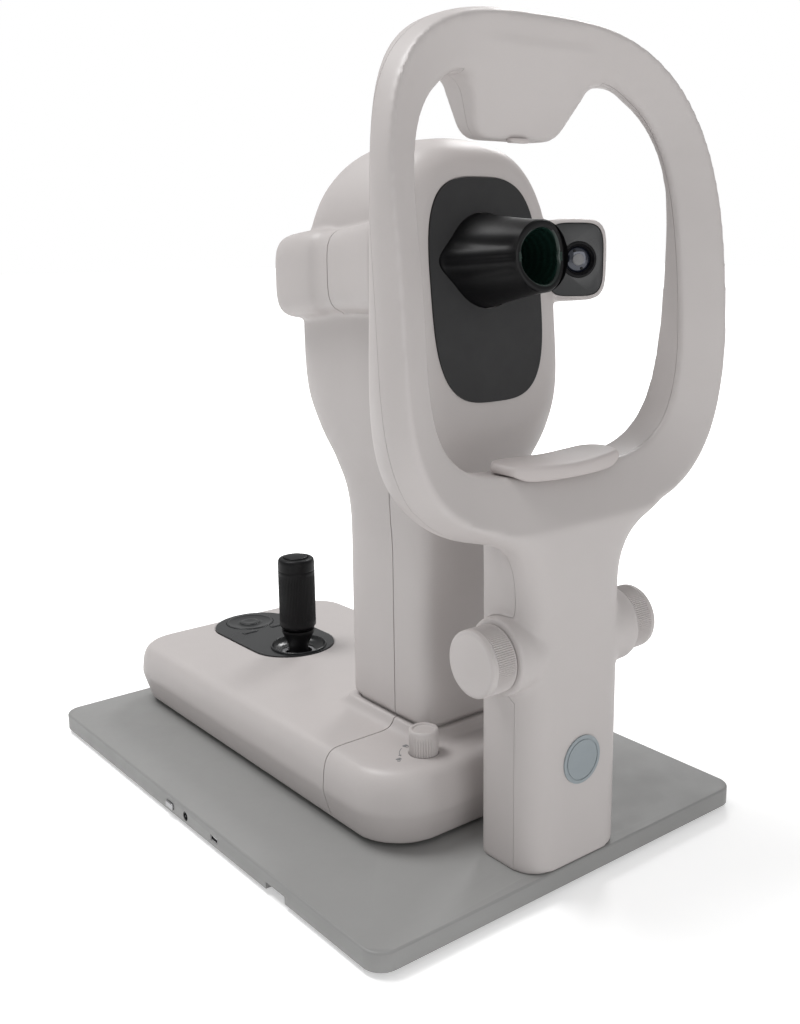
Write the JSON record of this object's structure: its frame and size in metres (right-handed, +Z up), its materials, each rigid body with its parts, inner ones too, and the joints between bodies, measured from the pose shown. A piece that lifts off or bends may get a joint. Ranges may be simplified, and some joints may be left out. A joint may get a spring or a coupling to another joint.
{
  "type": "corneal topographer",
  "caption": "Table-top eye-measuring instrument: cone and camera head on a joystick cross-slide base, facing a chin rest and forehead frame on one plate.",
  "frame": {"origin": "centre of the base plate's outline, on the table top under the rubber feet", "axes": "+Z up, +Y from the patient's side towards the operator, +X to the right seen from the patient's side"},
  "size_m": [0.3316, 0.4615, 0.5532],
  "materials": {
    "shell_plastic": "fine satin texture",
    "pad_plastic": "soft matte",
    "plate_paint": "satin",
    "dark_panel": "matte",
    "black_satin": "satin",
    "gloss_black": "gloss",
    "chrome": "polished",
    "steel": "brushed",
    "aluminium": "machined",
    "brass": "machined",
    "rubber": "matte",
    "board": "solder mask",
    "badge": "satin",
    "guide_plastic": "matte",
    "lens_glass": "coated"
  },
  "bodies": {
    "stand": {"base_plate": "plate_paint", "bottom_cover": "steel", "cover_screws": "steel", "rubber_feet": "rubber", "power_board": "board", "dc_jack": "gloss_black", "usb_port": "steel", "frame_front_shell": "shell_plastic", "frame_rear_cover": "shell_plastic", "column_bracket": "steel", "frame_screws": "steel", "bar_guides": "guide_plastic", "shaft_bushes": "brass", "badge": "badge", "forehead_rest": "shell_plastic", "forehead_pad": "pad_plastic", "y_rails": "steel"},
    "power_button": {"power_button": "chrome"},
    "chin_carriage": {"chin_rest": "pad_plastic", "chin_bar": "steel"},
    "chin_drive": {"chin_shaft": "steel", "chin_pinion": "brass", "chin_knobs": "shell_plastic"},
    "saddle": {"saddle": "aluminium", "rail_blocks": "steel", "rod_bushes": "brass"},
    "carriage": {"cross_rods": "steel", "chassis": "steel", "base_front_shell": "shell_plastic", "base_rear_shell": "shell_plastic", "control_panel": "gloss_black", "main_board": "board", "lift_motor": "steel", "guide_rods": "steel", "lift_sleeve": "shell_plastic", "joystick_socket": "black_satin"},
    "nav_ring": {"nav_ring": "gloss_black"},
    "nav_button": {"nav_button": "gloss_black"},
    "left_key": {"left_key": "gloss_black"},
    "right_key": {"right_key": "gloss_black"},
    "lock_knob": {"lock_knob": "shell_plastic"},
    "lock_plunger": {"lock_plunger": "steel"},
    "lift_screw": {"lift_screw": "steel"},
    "head": {"lift_frame": "aluminium", "lift_nut": "brass", "head_front_shell": "shell_plastic", "head_rear_shell": "shell_plastic", "front_panel": "dark_panel", "placido_cone": "black_satin", "cone_light_board": "board", "camera_barrel": "black_satin", "camera_lens": "lens_glass", "camera_board": "board", "pod_windows": "gloss_black", "pod_lenses": "lens_glass", "pod_cameras": "black_satin"},
    "joystick_gimbal": {"joystick_gimbal": "steel"},
    "joystick_stem": {"joystick_stem": "rubber"},
    "joystick_grip": {"joystick_grip": "rubber"},
    "joystick_button": {"joystick_button": "gloss_black"}
  },
  "joints": [
    {"name": "power_button_press", "type": "slide", "parent": "stand", "child": "power_button", "axis": [1, 0, 0], "range_m": [0, 0.0012], "stiffness_N_per_m": 600, "springref_m": -0.0008},
    {"name": "chin_lift", "type": "slide", "parent": "stand", "child": "chin_carriage", "axis": [0, 0, 1], "range_m": [0, 0.06]},
    {"name": "chin_knob_turn", "type": "hinge", "parent": "stand", "child": "chin_drive", "pos_m": [0, -0.205, 0.1645], "axis": [1, 0, 0], "range_deg": [0, 459]},
    {"name": "carriage_forward_back", "type": "slide", "parent": "stand", "child": "saddle", "axis": [0, 1, 0], "range_m": [-0.017, 0.04]},
    {"name": "carriage_side_to_side", "type": "slide", "parent": "saddle", "child": "carriage", "axis": [1, 0, 0], "range_m": [-0.05, 0.05]},
    {"name": "head_lift", "type": "slide", "parent": "carriage", "child": "head", "axis": [0, 0, 1], "range_m": [0, 0.03]},
    {"name": "lift_screw_turn", "type": "hinge", "parent": "carriage", "child": "lift_screw", "pos_m": [0, -0.069, 0.1], "axis": [0, 0, 1], "range_deg": [0, 1081]},
    {"name": "lock_plunger_drop", "type": "slide", "parent": "carriage", "child": "lock_plunger", "axis": [0, 0, -1], "range_m": [0, 0.003]},
    {"name": "lock_turn", "type": "hinge", "parent": "carriage", "child": "lock_knob", "pos_m": [-0.051, -0.1294, 0.08], "axis": [0, 0, 1], "range_deg": [0, 91]},
    {"name": "nav_ring_press", "type": "slide", "parent": "carriage", "child": "nav_ring", "axis": [0, -0.0143, -0.9999], "range_m": [0, 0.001], "stiffness_N_per_m": 600, "springref_m": -0.0008},
    {"name": "nav_button_press", "type": "slide", "parent": "carriage", "child": "nav_button", "axis": [0, -0.0143, -0.9999], "range_m": [0, 0.001], "stiffness_N_per_m": 600, "springref_m": -0.0008},
    {"name": "left_key_press", "type": "slide", "parent": "carriage", "child": "left_key", "axis": [0, -0.0143, -0.9999], "range_m": [0, 0.001], "stiffness_N_per_m": 600, "springref_m": -0.0008},
    {"name": "right_key_press", "type": "slide", "parent": "carriage", "child": "right_key", "axis": [0, -0.0143, -0.9999], "range_m": [0, 0.001], "stiffness_N_per_m": 600, "springref_m": -0.0008},
    {"name": "joystick_fore_aft", "type": "hinge", "parent": "carriage", "child": "joystick_gimbal", "pos_m": [0, 0.1115, 0.062], "axis": [1, 0, 0], "range_deg": [-10, 10]},
    {"name": "joystick_side_to_side", "type": "hinge", "parent": "joystick_gimbal", "child": "joystick_stem", "pos_m": [0, 0.1115, 0.062], "axis": [0, 1, 0], "range_deg": [-10, 10]},
    {"name": "joystick_twist", "type": "hinge", "parent": "joystick_stem", "child": "joystick_grip", "pos_m": [0, 0.1115, 0.11], "axis": [0, 0, 1], "range_deg": [0, 1081]},
    {"name": "joystick_button_press", "type": "slide", "parent": "joystick_grip", "child": "joystick_button", "axis": [0, 0, -1], "range_m": [0, 0.0012], "stiffness_N_per_m": 600, "springref_m": -0.0008}
  ],
  "couplings": [
    {"joint": "chin_knob_turn", "follows": "chin_lift", "rad_per_m": 133.33},
    {"joint": "lift_screw_turn", "follows": "head_lift", "rad_per_m": 628.32},
    {"joint": "joystick_twist", "follows": "head_lift", "rad_per_m": 628.32},
    {"joint": "lock_turn", "follows": "lock_plunger_drop", "rad_per_m": 523.6}
  ]
}
